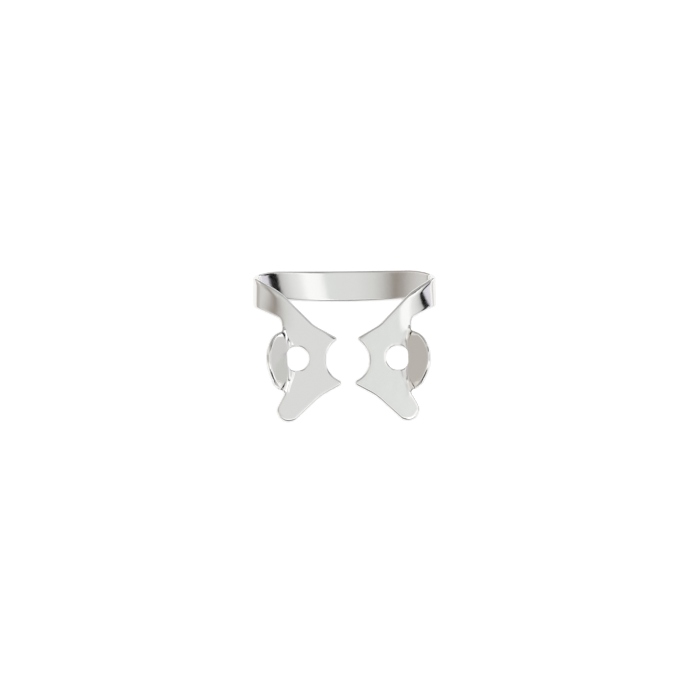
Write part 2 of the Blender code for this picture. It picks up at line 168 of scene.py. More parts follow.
def fillet(before, corner, after, radius):
    """The rounded corner between two straight edges."""
    corner = np.array(corner, dtype=float)
    to_before = unit(np.array(before, dtype=float) - corner)
    to_after = unit(np.array(after, dtype=float) - corner)
    half = 0.5 * math.acos(float(np.clip(np.dot(to_before, to_after), -1.0, 1.0)))
    centre = corner + unit(to_before + to_after) * radius / math.sin(half)
    first = corner + to_before * radius / math.tan(half)
    last = corner + to_after * radius / math.tan(half)
    cross = (first[0] - centre[0]) * (last[1] - centre[1]) - (first[1] - centre[1]) * (last[0] - centre[0])
    return arc_between(centre, first, last, 1 if cross > 0 else -1)


def round_to_circle(point, run, centre, circle_radius, radius, side, outside=1):
    """Centre of a round that touches a straight edge, on its side +1 left or -1 right, and a circle; outside
    puts it beyond the circle (+1) or within it (-1)."""
    normal = left_of(run) * side
    origin = point + normal * radius - np.array(centre)
    reach = circle_radius + outside * radius
    half_b = float(np.dot(origin, run))
    root = math.sqrt(half_b * half_b - float(np.dot(origin, origin)) + reach * reach)
    travel = min((-half_b + root, -half_b - root), key=abs)
    return point + normal * radius + run * travel


def blank_outline():
    """Outline of one half of the blank, from the bow's distal edge round the jaw to the bow's mesial edge."""
    bow = np.array([BLANK_HALF, BOW_DISTAL - BOW_DISTAL_ARC])
    reach = math.asin((BLANK_HALF - BOW_DISTAL_SHOULDER) / BOW_DISTAL_ARC)
    shoulder = bow + BOW_DISTAL_ARC * direction(0.5 * math.pi + reach)
    run = unit(np.array(ARM_DISTAL_KNEE) - shoulder)
    turn_in = round_to_circle(shoulder, run, bow, BOW_DISTAL_ARC, BOW_DISTAL_SHOULDER_RADIUS, 1, -1)
    on_arc = bow + unit(turn_in - bow) * BOW_DISTAL_ARC
    path = arc_between(bow, bow + np.array([0.0, BOW_DISTAL_ARC]), on_arc, 1)
    path += arc_between(turn_in, on_arc, turn_in - left_of(run) * BOW_DISTAL_SHOULDER_RADIUS, 1)
    path += fillet(shoulder, ARM_DISTAL_KNEE, ARM_DISTAL_ROOT, ARM_DISTAL_KNEE_RADIUS)
    root = np.array(ARM_DISTAL_ROOT)
    prong_run = direction(math.pi + DISTAL_PRONG_SLOPE)
    path += fillet(ARM_DISTAL_KNEE, root, root + prong_run, ARM_DISTAL_ROOT_RADIUS)

    # the two prongs, with the arc that grips the tooth between them
    jaw = np.array(JAW_ARC_CENTRE)
    tip = round_to_circle(root, prong_run, jaw, JAW_ARC_RADIUS, DISTAL_PRONG_ROUND, 1)
    on_line = tip - left_of(prong_run) * DISTAL_PRONG_ROUND
    on_arc = jaw + unit(tip - jaw) * JAW_ARC_RADIUS
    path += arc_between(tip, on_line, on_arc, 1)
    knee = np.array(MESIAL_EDGE_KNEE)
    low_run = direction(math.pi - MESIAL_PRONG_SLOPE)
    low_tip = round_to_circle(knee, low_run, jaw, JAW_ARC_RADIUS, MESIAL_PRONG_ROUND, -1)
    low_on_arc = jaw + unit(low_tip - jaw) * JAW_ARC_RADIUS
    low_on_line = low_tip + left_of(low_run) * MESIAL_PRONG_ROUND
    path += arc_between(jaw, on_arc, low_on_arc, -1)
    path += arc_between(low_tip, low_on_arc, low_on_line, 1)

    # mesial edge and the round end of the anterior wing
    lobe = np.array(LOBE_CENTRE)
    lobe_in = lobe - direction(0.5 * math.pi - LOBE_EDGE_SLOPE) * LOBE_RADIUS
    path += fillet(low_on_line, knee, lobe_in, MESIAL_EDGE_KNEE_RADIUS)
    notch = np.array(LOBE_NOTCH)
    lean = math.acos(LOBE_RADIUS / np.linalg.norm(notch - lobe))
    aim = math.atan2(notch[1] - lobe[1], notch[0] - lobe[0])
    lobe_out = lobe + LOBE_RADIUS * direction(aim - lean)
    path += arc_between(lobe, lobe_in, lobe_out, 1)

    # relief notch, the central wing's rim and the second notch
    wing = np.array(WING_CENTRE)
    run = unit(notch - lobe_out)
    inner = round_to_circle(notch, run, wing, WING_RADIUS, LOBE_NOTCH_RADIUS, -1)
    in_wing = wing + unit(inner - wing) * WING_RADIUS
    path += arc_between(inner, inner + left_of(run) * LOBE_NOTCH_RADIUS, in_wing, -1)
    upper = np.array(WING_NOTCH)
    arm_root = np.array(ARM_MESIAL_ROOT)
    run = unit(arm_root - upper)
    outer = round_to_circle(upper, run, wing, WING_RADIUS, WING_NOTCH_RADIUS, -1)
    out_wing = wing + unit(outer - wing) * WING_RADIUS
    path += arc_between(wing, in_wing, out_wing, 1)
    path += arc_between(outer, out_wing, outer + left_of(run) * WING_NOTCH_RADIUS, -1)

    # mesial edge of the arm, back to the bow
    low_shoulder = (BOW_MESIAL_SHOULDER, BOW_MESIAL)
    path += fillet(upper, arm_root, low_shoulder, ARM_MESIAL_ROOT_RADIUS)
    path += fillet(arm_root, low_shoulder, (BLANK_HALF, BOW_MESIAL), BOW_MESIAL_SHOULDER_RADIUS)
    path.append(np.array([BLANK_HALF, BOW_MESIAL]))
    return path


def evenly_spaced(path):
    """The open path with its points at the rim's spacing."""
    path = np.array(path)
    steps = np.linalg.norm(np.diff(path, axis=0), axis=1)
    path = path[np.concatenate([[True], steps > 1.0e-6])]
    along = np.concatenate([[0.0], np.cumsum(np.linalg.norm(np.diff(path, axis=0), axis=1))])
    count = int(round(along[-1] / RIM_SPACING))
    want = np.linspace(0.0, along[-1], count + 1)
    return np.stack([np.interp(want, along, path[:, 0]), np.interp(want, along, path[:, 1])], axis=1)


def loop_normals(loop):
    """Normals to the right of a closed loop's direction."""
    tangent = np.roll(loop, -1, axis=0) - np.roll(loop, 1, axis=0)
    tangent /= np.linalg.norm(tangent, axis=1)[:, None]
    return np.stack([tangent[:, 1], -tangent[:, 0]], axis=1)


def inside(points, loop):
    """Whether each point lies within a closed loop."""
    result = np.zeros(len(points), dtype=bool)
    after = np.roll(loop, -1, axis=0)
    for (x0, y0), (x1, y1) in zip(loop, after):
        if y0 == y1:
            continue
        spans = (points[:, 1] > min(y0, y1)) & (points[:, 1] <= max(y0, y1))
        result ^= spans & (points[:, 0] < x0 + (points[:, 1] - y0) * (x1 - x0) / (y1 - y0))
    return result


def face_points(rings):
    """Points over the flat face, closer together across the fold of the wing and the corner."""
    rows = [0.0]
    while rows[-1] < BLANK_HALF:
        u = rows[-1]
        at_fold = FINE_AT_FOLD[0] < u < FINE_AT_FOLD[1]
        at_corner = CORNER_START - FINE_PAST_CORNER < u < CORNER_END + FINE_PAST_CORNER
        rows.append(u + (0.5 if at_fold or at_corner else 1.0) * FACE_SPACING)
    points = []
    for number, u in enumerate(rows):
        shift = 0.5 * (number % 2) * FACE_SPACING
        for v in np.arange(FACE_REACH[0] + shift, FACE_REACH[1], FACE_SPACING):
            points += [(BLANK_HALF - u, v), (u - BLANK_HALF, v)]
    points = np.array(points)
    keep = inside(points, rings[0])
    for hole in rings[1:]:
        keep &= ~inside(points, hole)
    points = points[keep]
    rim = np.concatenate(rings)
    near = np.zeros(len(points), dtype=bool)
    # a twelfth of the points at a time, to spare memory
    for part in np.array_split(np.arange(len(points)), 12):
        gap = np.linalg.norm(points[part][:, None, :] - rim[None, :, :], axis=2).min(axis=1)
        near[part] = gap < FACE_MARGIN
    return points[~near]


def stamped_blank():
    """The flat blank as a closed mesh with rounded edges, in metres; x is the way along the sheet."""
    half = evenly_spaced(blank_outline())
    right = np.stack([BLANK_HALF - half[:, 0], half[:, 1]], axis=1)[::-1]
    left = np.stack([half[:, 0] - BLANK_HALF, half[:, 1]], axis=1)
    outer = np.concatenate([right[:-1], left[:-1]])
    loops = [outer]
    count = int(math.pi * HOLE_DIAMETER / RIM_SPACING)
    turn = -2.0 * math.pi * np.arange(count) / count
    for side in (-1.0, 1.0):
        loops.append(np.stack([side * (BLANK_HALF - HOLE_CENTRE[0]) + 0.5 * HOLE_DIAMETER * np.cos(turn),
                               HOLE_CENTRE[1] + 0.5 * HOLE_DIAMETER * np.sin(turn)], axis=1))
    area = np.sum(outer[:, 0] * np.roll(outer[:, 1], -1) - np.roll(outer[:, 0], -1) * outer[:, 1])
    if area < 0.0:
        loops[0] = outer[::-1]

    # rounded edge, from the jaw-side face over the rim to the bow-side face
    quarter = np.linspace(0.0, 0.5 * math.pi, RIM_STEPS + 1)
    inset = EDGE_ROUND * (1.0 - np.sin(quarter))
    height = 0.5 * THICKNESS - EDGE_ROUND * (1.0 - np.cos(quarter))
    profile = list(zip(inset, height)) + list(zip(inset[::-1], -height[::-1]))
    verts, faces, top, low = [], [], [], []
    for loop in loops:
        normals = loop_normals(loop)
        size = len(loop)
        base = len(verts)
        for move, z in profile:
            verts += [(p[0], p[1], z) for p in loop - normals * move]
        for ring in range(len(profile) - 1):
            a = base + ring * size
            for i in range(size):
                following = (i + 1) % size
                faces.append((a + i, a + size + i, a + size + following, a + following))
        top += range(base, base + size)
        low += range(base + (len(profile) - 1) * size, base + len(profile) * size)

    # both faces of the sheet, with the same division
    rings = [np.array([verts[i][:2] for i in top[:len(loops[0])]])]
    for number in (0, 1):
        start = len(loops[0]) + number * count
        rings.append(np.array([verts[i][:2] for i in top[start:start + count]]))
    rim = np.concatenate(rings)
    edges = []
    start = 0
    for ring in rings:
        edges += [(start + i, start + (i + 1) % len(ring)) for i in range(len(ring))]
        start += len(ring)
    inner = face_points(rings)
    flat = [Vector(p) for p in np.concatenate([rim, inner])]
    _, _, triangles, origins, _, _ = delaunay_2d_cdt(flat, edges, [], 1, 1.0e-9)
    base = len(verts)
    verts += [(p[0], p[1], 0.5 * THICKNESS) for p in inner]
    verts += [(p[0], p[1], -0.5 * THICKNESS) for p in inner]
    top += range(base, base + len(inner))
    low += range(base + len(inner), base + 2 * len(inner))
    for triangle in triangles:
        spots = [origins[i][0] for i in triangle]
        middle = sum((flat[i] for i in spots), Vector((0.0, 0.0))) / 3.0
        in_hole = [(middle - Vector((side * (BLANK_HALF - HOLE_CENTRE[0]), HOLE_CENTRE[1]))).length
                   < 0.5 * HOLE_DIAMETER for side in (-1.0, 1.0)]
        if max(spots) < len(rim) and any(in_hole):
            continue
        a, b, c = (flat[i] for i in spots)
        if (b - a).cross(c - a) < 0.0:
            spots.reverse()
        faces.append(tuple(top[i] for i in spots))
        faces.append(tuple(low[i] for i in reversed(spots)))
    mesh = bpy.data.meshes.new("stamped_blank")
    mesh.from_pydata([(x * MM, y * MM, z * MM) for x, y, z in verts], [], faces)
    mesh.update()
    return mesh


def add_node(tree, kind, inputs=(), **settings):
    """Adds a node with its settings, and links or fills its inputs, given in order or by name or number."""
    node = tree.nodes.new(kind)
    node.location = (190.0 * (len(tree.nodes) % 12), -210.0 * (len(tree.nodes) // 12))
    for name, value in settings.items():
        setattr(node, name, value)
    for socket, value in inputs.items() if isinstance(inputs, dict) else enumerate(inputs):
        if isinstance(value, bpy.types.NodeSocket):
            tree.links.new(value, node.inputs[socket])
        else:
            node.inputs[socket].default_value = value
    return node


def run_and_bend_group():
    """A straight run of the sheet and the bend after it, followed along the sheet."""
    tree = bpy.data.node_groups.new("run_and_bend", "GeometryNodeTree")
    for name in ("Along", "Reach", "Drop", "Angle", "Run Start", "Bend Start", "Bend End", "Bend Radius"):
        tree.interface.new_socket(name, in_out="INPUT", socket_type="NodeSocketFloat")
    for name in ("Reach", "Drop", "Angle"):
        tree.interface.new_socket(name, in_out="OUTPUT", socket_type="NodeSocketFloat")
    given = add_node(tree, "NodeGroupInput").outputs
    radius = given["Bend Radius"]
    on_run = add_node(tree, "ShaderNodeClamp",
                      (given["Along"], given["Run Start"], given["Bend Start"])).outputs[0]
    run = add_node(tree, "ShaderNodeMath", (on_run, given["Run Start"]), operation="SUBTRACT").outputs[0]
    on_bend = add_node(tree, "ShaderNodeClamp",
                       (given["Along"], given["Bend Start"], given["Bend End"])).outputs[0]
    bend = add_node(tree, "ShaderNodeMath", (on_bend, given["Bend Start"]), operation="SUBTRACT").outputs[0]
    turn = add_node(tree, "ShaderNodeMath", (bend, radius), operation="DIVIDE").outputs[0]
    angle = add_node(tree, "ShaderNodeMath", (given["Angle"], turn), operation="ADD").outputs[0]
    sine = add_node(tree, "ShaderNodeMath", (given["Angle"],), operation="SINE").outputs[0]
    cosine = add_node(tree, "ShaderNodeMath", (given["Angle"],), operation="COSINE").outputs[0]
    end_sine = add_node(tree, "ShaderNodeMath", (angle,), operation="SINE").outputs[0]
    end_cosine = add_node(tree, "ShaderNodeMath", (angle,), operation="COSINE").outputs[0]
    out_turn = add_node(tree, "ShaderNodeMath", (end_sine, sine), operation="SUBTRACT").outputs[0]
    down_turn = add_node(tree, "ShaderNodeMath", (cosine, end_cosine), operation="SUBTRACT").outputs[0]
    reach = add_node(tree, "ShaderNodeMath", (run, cosine, given["Reach"]),
                     operation="MULTIPLY_ADD").outputs[0]
    reach = add_node(tree, "ShaderNodeMath", (radius, out_turn, reach), operation="MULTIPLY_ADD").outputs[0]
    drop = add_node(tree, "ShaderNodeMath", (run, sine, given["Drop"]), operation="MULTIPLY_ADD").outputs[0]
    drop = add_node(tree, "ShaderNodeMath", (radius, down_turn, drop), operation="MULTIPLY_ADD").outputs[0]
    add_node(tree, "NodeGroupOutput", (reach, drop, angle))
    return tree


def forming_tree(steel):
    """The press's rule: bends arms and bow, folds the central wings, lays the clamp down on its bow."""
    tree = bpy.data.node_groups.new("form_the_clamp", "GeometryNodeTree")
    tree.interface.new_socket("Geometry", in_out="INPUT", socket_type="NodeSocketGeometry")
    sizes = {
        "Blank Half Length": BLANK_HALF * MM, "Jaw Tilt": JAW_TILT, "Arm Bend Start": ARM_BEND_START * MM,
        "Arm Bend End": ARM_BEND_END * MM, "Arm Bend Radius": ARM_BEND_RADIUS * MM,
        "Corner Start": CORNER_START * MM, "Corner End": CORNER_END * MM, "Corner Radius": CORNER_RADIUS * MM,
        "Crown Radius": CROWN_RADIUS * MM, "Wing Fold Start": WING_FOLD_START * MM,
        "Wing Fold Radius": WING_FOLD_RADIUS * MM, "Wing Fold Angle": JAW_TILT + WING_RISE,
        "Fold Relief": FOLD_RELIEF * MM, "Lying Tilt": LYING_TILT,
    }
    for name in sizes:
        tree.interface.new_socket(name, in_out="INPUT", socket_type="NodeSocketFloat")
    tree.interface.new_socket("Geometry", in_out="OUTPUT", socket_type="NodeSocketGeometry")
    given = add_node(tree, "NodeGroupInput").outputs
    half, jaw_tilt = given["Blank Half Length"], given["Jaw Tilt"]
    blank = add_node(tree, "GeometryNodeInputPosition").outputs[0]
    place = add_node(tree, "ShaderNodeSeparateXYZ", (blank,)).outputs
    off_middle = add_node(tree, "ShaderNodeMath", (place["X"],), operation="ABSOLUTE").outputs[0]
    along = add_node(tree, "ShaderNodeMath", (half, off_middle), operation="SUBTRACT").outputs[0]
    # with its jaw side up, the blank's right half curls over to the left
    turned = add_node(tree, "ShaderNodeMath", (place["X"], -1.0), operation="MULTIPLY").outputs[0]
    side = add_node(tree, "ShaderNodeMath", (turned,), operation="SIGN").outputs[0]

    # the arm, the corner and the bow
    bends = run_and_bend_group()
    arm = {"Reach": 0.0, "Drop": 0.0, "Angle": jaw_tilt}
    run_start = 0.0
    for start, end, radius in (("Arm Bend Start", "Arm Bend End", "Arm Bend Radius"),
                               ("Corner Start", "Corner End", "Corner Radius"),
                               ("Corner End", "Blank Half Length", "Crown Radius")):
        node = add_node(tree, "GeometryNodeGroup",
                        {"Along": along, **arm, "Run Start": run_start, "Bend Start": given[start],
                         "Bend End": given[end], "Bend Radius": given[radius]}, node_tree=bends)
        arm = {name: node.outputs[name] for name in arm}
        run_start = given[end]

    # the central wing, whose fold starts farther out beside its relief notches
    relief = 0.0
    for near, far in (FOLD_RELIEF_DISTAL, FOLD_RELIEF_MESIAL):
        share = add_node(tree, "ShaderNodeMapRange",
                         {"Value": place["Y"], "From Min": near * MM, "From Max": far * MM},
                         interpolation_type="SMOOTHSTEP").outputs[0]
        relief = add_node(tree, "ShaderNodeMath", (relief, share), operation="ADD").outputs[0]
    fold_start = add_node(tree, "ShaderNodeMath", (relief, given["Fold Relief"], given["Wing Fold Start"]),
                          operation="MULTIPLY_ADD").outputs[0]
    fold_end = add_node(tree, "ShaderNodeMath",
                        (given["Wing Fold Radius"], given["Wing Fold Angle"], fold_start),
                        operation="MULTIPLY_ADD").outputs[0]
    upward = add_node(tree, "ShaderNodeMath", (given["Wing Fold Radius"], -1.0),
                      operation="MULTIPLY").outputs[0]
    fold = add_node(tree, "GeometryNodeGroup",
                    {"Along": along, "Angle": jaw_tilt, "Bend Start": fold_start,
                     "Bend End": fold_end, "Bend Radius": upward}, node_tree=bends).outputs
    straight = {"Along": along, "Bend Start": half, "Bend End": half, "Bend Radius": given["Crown Radius"]}
    wing = add_node(tree, "GeometryNodeGroup",
                    {**straight, "Reach": fold["Reach"], "Drop": fold["Drop"],
                     "Angle": fold["Angle"], "Run Start": fold_end}, node_tree=bends).outputs

    # the anterior wing stays in the plane of the jaw
    lobe = add_node(tree, "GeometryNodeGroup", {**straight, "Angle": jaw_tilt}, node_tree=bends).outputs

    spots = []
    for form in (wing, arm, lobe):
        sine = add_node(tree, "ShaderNodeMath", (form["Angle"],), operation="SINE").outputs[0]
        cosine = add_node(tree, "ShaderNodeMath", (form["Angle"],), operation="COSINE").outputs[0]
        reach = add_node(tree, "ShaderNodeMath", (place["Z"], sine, form["Reach"]),
                         operation="MULTIPLY_ADD").outputs[0]
        x = add_node(tree, "ShaderNodeMath", (reach, side), operation="MULTIPLY").outputs[0]
        rise = add_node(tree, "ShaderNodeMath", (place["Z"], cosine), operation="MULTIPLY").outputs[0]
        z = add_node(tree, "ShaderNodeMath", (rise, form["Drop"]), operation="SUBTRACT").outputs[0]
        spots.append(add_node(tree, "ShaderNodeCombineXYZ", (x, place["Y"], z)).outputs[0])
    # a Mix node's inputs 4 and 5 are its vectors
    formed = spots[0]
    for spot, (near, far) in zip(spots[1:], (ARM_BLEND, LOBE_BLEND)):
        share = add_node(tree, "ShaderNodeMapRange",
                         {"Value": place["Y"], "From Min": near * MM, "From Max": far * MM},
                         interpolation_type="SMOOTHSTEP").outputs[0]
        formed = add_node(tree, "ShaderNodeMix", {0: share, 4: formed, 5: spot},
                          data_type="VECTOR").outputs[1]

    # the flat place stays with each point, for patterns that follow the sheet
    kept = add_node(tree, "GeometryNodeStoreNamedAttribute",
                    {"Geometry": given["Geometry"], "Name": "blank_place", "Value": blank},
                    data_type="FLOAT_VECTOR", domain="POINT").outputs[0]
    lying = add_node(tree, "ShaderNodeVectorRotate", {"Vector": formed, "Angle": given["Lying Tilt"]},
                     rotation_type="X_AXIS").outputs[0]
    shaped = add_node(tree, "GeometryNodeSetPosition", {"Geometry": kept, "Position": lying}).outputs[0]
    box = add_node(tree, "GeometryNodeBoundBox", (shaped,)).outputs
    low = add_node(tree, "ShaderNodeSeparateXYZ", (box["Min"],)).outputs
    both = add_node(tree, "ShaderNodeVectorMath", (box["Min"], box["Max"]), operation="ADD").outputs[0]
    twice = add_node(tree, "ShaderNodeSeparateXYZ", (both,)).outputs
    back = add_node(tree, "ShaderNodeMath", (twice["Y"], -0.5), operation="MULTIPLY").outputs[0]
    lift = add_node(tree, "ShaderNodeMath", (low["Z"], -1.0), operation="MULTIPLY").outputs[0]
    shift = add_node(tree, "ShaderNodeCombineXYZ", (0.0, back, lift)).outputs[0]
    laid = add_node(tree, "GeometryNodeTransform", {"Geometry": shaped, "Translation": shift}).outputs[0]
    smooth = add_node(tree, "GeometryNodeSetShadeSmooth", (laid,)).outputs[0]
    whole = add_node(tree, "GeometryNodeRealizeInstances", (smooth,)).outputs[0]
    finished = add_node(tree, "GeometryNodeSetMaterial", {"Geometry": whole, "Material": steel}).outputs[0]
    add_node(tree, "NodeGroupOutput", (finished,))
    return tree, sizes


def pressed_clamp(steel):
    """The clamp, pressed from its blank, as a plain mesh."""
    blank = bpy.data.objects.new("stamped_blank", stamped_blank())
    bpy.context.scene.collection.objects.link(blank)
    tree, sizes = forming_tree(steel)
    press = blank.modifiers.new("press", "NODES")
    press.node_group = tree
    sockets = {item.name: item.identifier for item in tree.interface.items_tree
               if item.item_type == "SOCKET" and item.in_out == "INPUT"}
    for name, size in sizes.items():
        press[sockets[name]] = size
    graph = bpy.context.evaluated_depsgraph_get()
    mesh = bpy.data.meshes.new_from_object(blank.evaluated_get(graph))
    mesh.name = "formed_clamp"
    bpy.data.objects.remove(blank, do_unlink=True)
    clamp = bpy.data.objects.new("formed_clamp", mesh)
    bpy.context.scene.collection.objects.link(clamp)
    return clamp


def linear(code):
    """Linear colour of an sRGB hex value."""
    values = [int(code[i:i + 2], 16) / 255.0 for i in (1, 3, 5)]
    return tuple(v / 12.92 if v <= 0.04045 else ((v + 0.055) / 1.055) ** 2.4 for v in values) + (1.0,)


# Form left in the sheet by the press, in millimetres and too slight for the solid: the strip is a little
# hollow across its width on the jaw side, the jaw swells softly at the foot of the wing's fold, and the
# die rolled over the arm's distal edge and the end of the anterior wing
ARM_HOLLOW_RADIUS = 34.0
BOW_HOLLOW_RADIUS = 52.0
ARM_HOLLOW_CENTRE = (9.0, 4.7)
BOW_HOLLOW_CENTRE = (15.0, 8.4)
HOLLOW_CHANGE = (12.0, 15.0)
ROLLED_EDGE_WIDTH = 0.95
ROLLED_EDGE_RADIUS = 2.6
ROLLED_LOBE_WIDTH = 0.66
FOLD_FOOT_WIDTH = 0.5
FOLD_FOOT_HEIGHT = 0.10
# where each of them starts and where it is full: along the arm, or over it from mesial to distal
RELIEF_LIMITS = {
    "hollow past jaw": ("along", 8.5, 11.0),
    "hollow past wing": ("over", 3.3, 5.0),
    "distal notch": ("over", *FOLD_RELIEF_DISTAL),
    "mesial notch": ("over", *FOLD_RELIEF_MESIAL),
    "anterior wing": ("over", *LOBE_BLEND),
    "below arm": ("over", 2.8, 2.1),
    "above anterior wing": ("over", -6.8, -6.5),
    "foot below arm": ("over", 2.2, -0.4),
    "foot above anterior wing": ("over", -7.6, -5.8),
    "rolled arm edge": ("along", 7.8, 9.8),
    "lobe past jaw": ("along", 7.0, 8.0),
    "lobe end": ("over", -9.0, -9.8),
}


def sheet_relief(tree):
    """Height over the sheet, in metres, of the strip's hollow, its rolled edges and the wing's flat face."""
    flat = add_node(tree, "ShaderNodeAttribute", attribute_name="blank_place").outputs["Vector"]
    place = add_node(tree, "ShaderNodeSeparateXYZ", (flat,)).outputs
    off_middle = add_node(tree, "ShaderNodeMath", (place["X"],), operation="ABSOLUTE").outputs[0]
    along = add_node(tree, "ShaderNodeMath", (BLANK_HALF * MM, off_middle), operation="SUBTRACT").outputs[0]
    face = add_node(tree, "ShaderNodeMath", (place["Z"],), operation="SIGN").outputs[0]

    shares = {}
    for name, (way, start, full) in RELIEF_LIMITS.items():
        spot = along if way == "along" else place["Y"]
        shares[name] = add_node(tree, "ShaderNodeMapRange",
                                {"Value": spot, "From Min": start * MM, "From Max": full * MM},
                                interpolation_type="SMOOTHSTEP").outputs[0]

    # hollow about the strip's centre line, which climbs from the arm to the bow: a parabola that has the
    # named radius along its middle, the arm's before the change and the bow's after it
    centre = add_node(tree, "ShaderNodeMapRange",
                      {"Value": along,
                       "From Min": ARM_HOLLOW_CENTRE[0] * MM, "From Max": BOW_HOLLOW_CENTRE[0] * MM,
                       "To Min": ARM_HOLLOW_CENTRE[1] * MM, "To Max": BOW_HOLLOW_CENTRE[1] * MM}).outputs[0]
    off_centre = add_node(tree, "ShaderNodeMath", (place["Y"], centre), operation="SUBTRACT").outputs[0]
    square = add_node(tree, "ShaderNodeMath", (off_centre, off_centre), operation="MULTIPLY").outputs[0]
    bend = add_node(tree, "ShaderNodeMapRange",
                    {"Value": along,
                     "From Min": HOLLOW_CHANGE[0] * MM, "From Max": HOLLOW_CHANGE[1] * MM,
                     "To Min": 0.5 / (ARM_HOLLOW_RADIUS * MM),
                     "To Max": 0.5 / (BOW_HOLLOW_RADIUS * MM)}).outputs[0]
    hollow = add_node(tree, "ShaderNodeMath", (square, bend), operation="MULTIPLY").outputs[0]
    for name in ("hollow past jaw", "hollow past wing"):
        hollow = add_node(tree, "ShaderNodeMath", (hollow, shares[name]), operation="MULTIPLY").outputs[0]
    relief = add_node(tree, "ShaderNodeMath", (hollow, face), operation="MULTIPLY").outputs[0]

    # the wing's own face is flat: this takes back the twist that the solid has beside its relief notches,
    # by the arm and by the anterior wing
    notched = add_node(tree, "ShaderNodeMath", (shares["distal notch"], shares["mesial notch"]),
                       operation="ADD").outputs[0]
    shift = add_node(tree, "ShaderNodeMath", (notched, FOLD_RELIEF * MM), operation="MULTIPLY").outputs[0]
    fold_start = add_node(tree, "ShaderNodeMath", (shift, WING_FOLD_START * MM), operation="ADD").outputs[0]
    past_start = add_node(tree, "ShaderNodeMath", (along, fold_start), operation="SUBTRACT").outputs[0]
    fold_length = WING_FOLD_RADIUS * (WING_RISE + JAW_TILT) * MM
    turned = add_node(tree, "ShaderNodeMapRange",
                      {"Value": past_start, "From Max": fold_length,
                       "To Max": WING_RISE + JAW_TILT}).outputs[0]
    sine = add_node(tree, "ShaderNodeMath", (turned,), operation="SINE").outputs[0]
    cosine = add_node(tree, "ShaderNodeMath", (turned,), operation="COSINE").outputs[0]
    rise = add_node(tree, "ShaderNodeMath", (cosine, -WING_FOLD_RADIUS * MM, WING_FOLD_RADIUS * MM),
                    operation="MULTIPLY_ADD").outputs[0]
    past_end = add_node(tree, "ShaderNodeMath", (turned, -WING_FOLD_RADIUS * MM, past_start),
                        operation="MULTIPLY_ADD").outputs[0]
    rise = add_node(tree, "ShaderNodeMath", (past_end, sine, rise), operation="MULTIPLY_ADD").outputs[0]
    twist = add_node(tree, "ShaderNodeMath", (shift, sine), operation="MULTIPLY").outputs[0]
    twist = add_node(tree, "ShaderNodeMath", (rise, shares["anterior wing"], twist),
                     operation="MULTIPLY_ADD").outputs[0]
    twist = add_node(tree, "ShaderNodeMath", (twist, face), operation="MULTIPLY").outputs[0]
    for name in ("below arm", "above anterior wing"):
        twist = add_node(tree, "ShaderNodeMath", (twist, shares[name]), operation="MULTIPLY").outputs[0]
    relief = add_node(tree, "ShaderNodeMath", (relief, twist), operation="ADD").outputs[0]

    # soft swelling at the foot of the fold, back to the sheet's level where the fold ends
    foot = add_node(tree, "ShaderNodeMath", (face, FOLD_FOOT_HEIGHT * MM), operation="MULTIPLY").outputs[0]
    foot_shares = [shares["foot below arm"], shares["foot above anterior wing"]]
    for level_place in (-FOLD_FOOT_WIDTH * MM, fold_length):
        foot_shares.append(add_node(tree, "ShaderNodeMapRange",
                                    {"Value": past_start, "From Min": level_place, "From Max": 0.0},
                                    interpolation_type="SMOOTHSTEP").outputs[0])
    for share in foot_shares:
        foot = add_node(tree, "ShaderNodeMath", (foot, share), operation="MULTIPLY").outputs[0]
    relief = add_node(tree, "ShaderNodeMath", (relief, foot), operation="ADD").outputs[0]

    # depth below the arm's two straight distal edges
    shoulder = (BOW_DISTAL_SHOULDER, BOW_DISTAL)
    depths = []
    for start, end in ((ARM_DISTAL_ROOT, ARM_DISTAL_KNEE), (ARM_DISTAL_KNEE, shoulder)):
        run = unit(np.array(end) - np.array(start))
        level = (start[1] * run[0] - start[0] * run[1]) * MM
        across = add_node(tree, "ShaderNodeMath", (along, run[1], level),
                          operation="MULTIPLY_ADD").outputs[0]
        depths.append(add_node(tree, "ShaderNodeMath", (place["Y"], -run[0], across),
                               operation="MULTIPLY_ADD").outputs[0])
    depth = add_node(tree, "ShaderNodeMath", depths, operation="MINIMUM").outputs[0]
    width = add_node(tree, "ShaderNodeMath", (shares["rolled arm edge"], ROLLED_EDGE_WIDTH * MM),
                     operation="MULTIPLY").outputs[0]
    rolls = [add_node(tree, "ShaderNodeMath", (width, depth), operation="SUBTRACT").outputs[0]]

    # depth below the round end of the anterior wing
    arm = add_node(tree, "ShaderNodeCombineXYZ", (along, place["Y"], 0.0)).outputs[0]
    lobe = (LOBE_CENTRE[0] * MM, LOBE_CENTRE[1] * MM, 0.0)
    spread = add_node(tree, "ShaderNodeVectorMath", (arm, lobe), operation="DISTANCE").outputs["Value"]
    rolls.append(add_node(tree, "ShaderNodeMath", (spread, (LOBE_RADIUS - ROLLED_LOBE_WIDTH) * MM),
                          operation="SUBTRACT").outputs[0])
    for name in ("lobe past jaw", "lobe end"):
        rolls[1] = add_node(tree, "ShaderNodeMath", (rolls[1], shares[name]), operation="MULTIPLY").outputs[0]
    jaw_side = add_node(tree, "ShaderNodeMath", (face, 0.0), operation="MAXIMUM").outputs[0]
    for into in rolls:
        into = add_node(tree, "ShaderNodeMath", (into, 0.0), operation="MAXIMUM").outputs[0]
        into = add_node(tree, "ShaderNodeMath", (into, jaw_side), operation="MULTIPLY").outputs[0]
        rolled = add_node(tree, "ShaderNodeMath", (into, into), operation="MULTIPLY").outputs[0]
        relief = add_node(tree, "ShaderNodeMath", (rolled, -0.5 / (ROLLED_EDGE_RADIUS * MM), relief),
                          operation="MULTIPLY_ADD").outputs[0]
    return relief


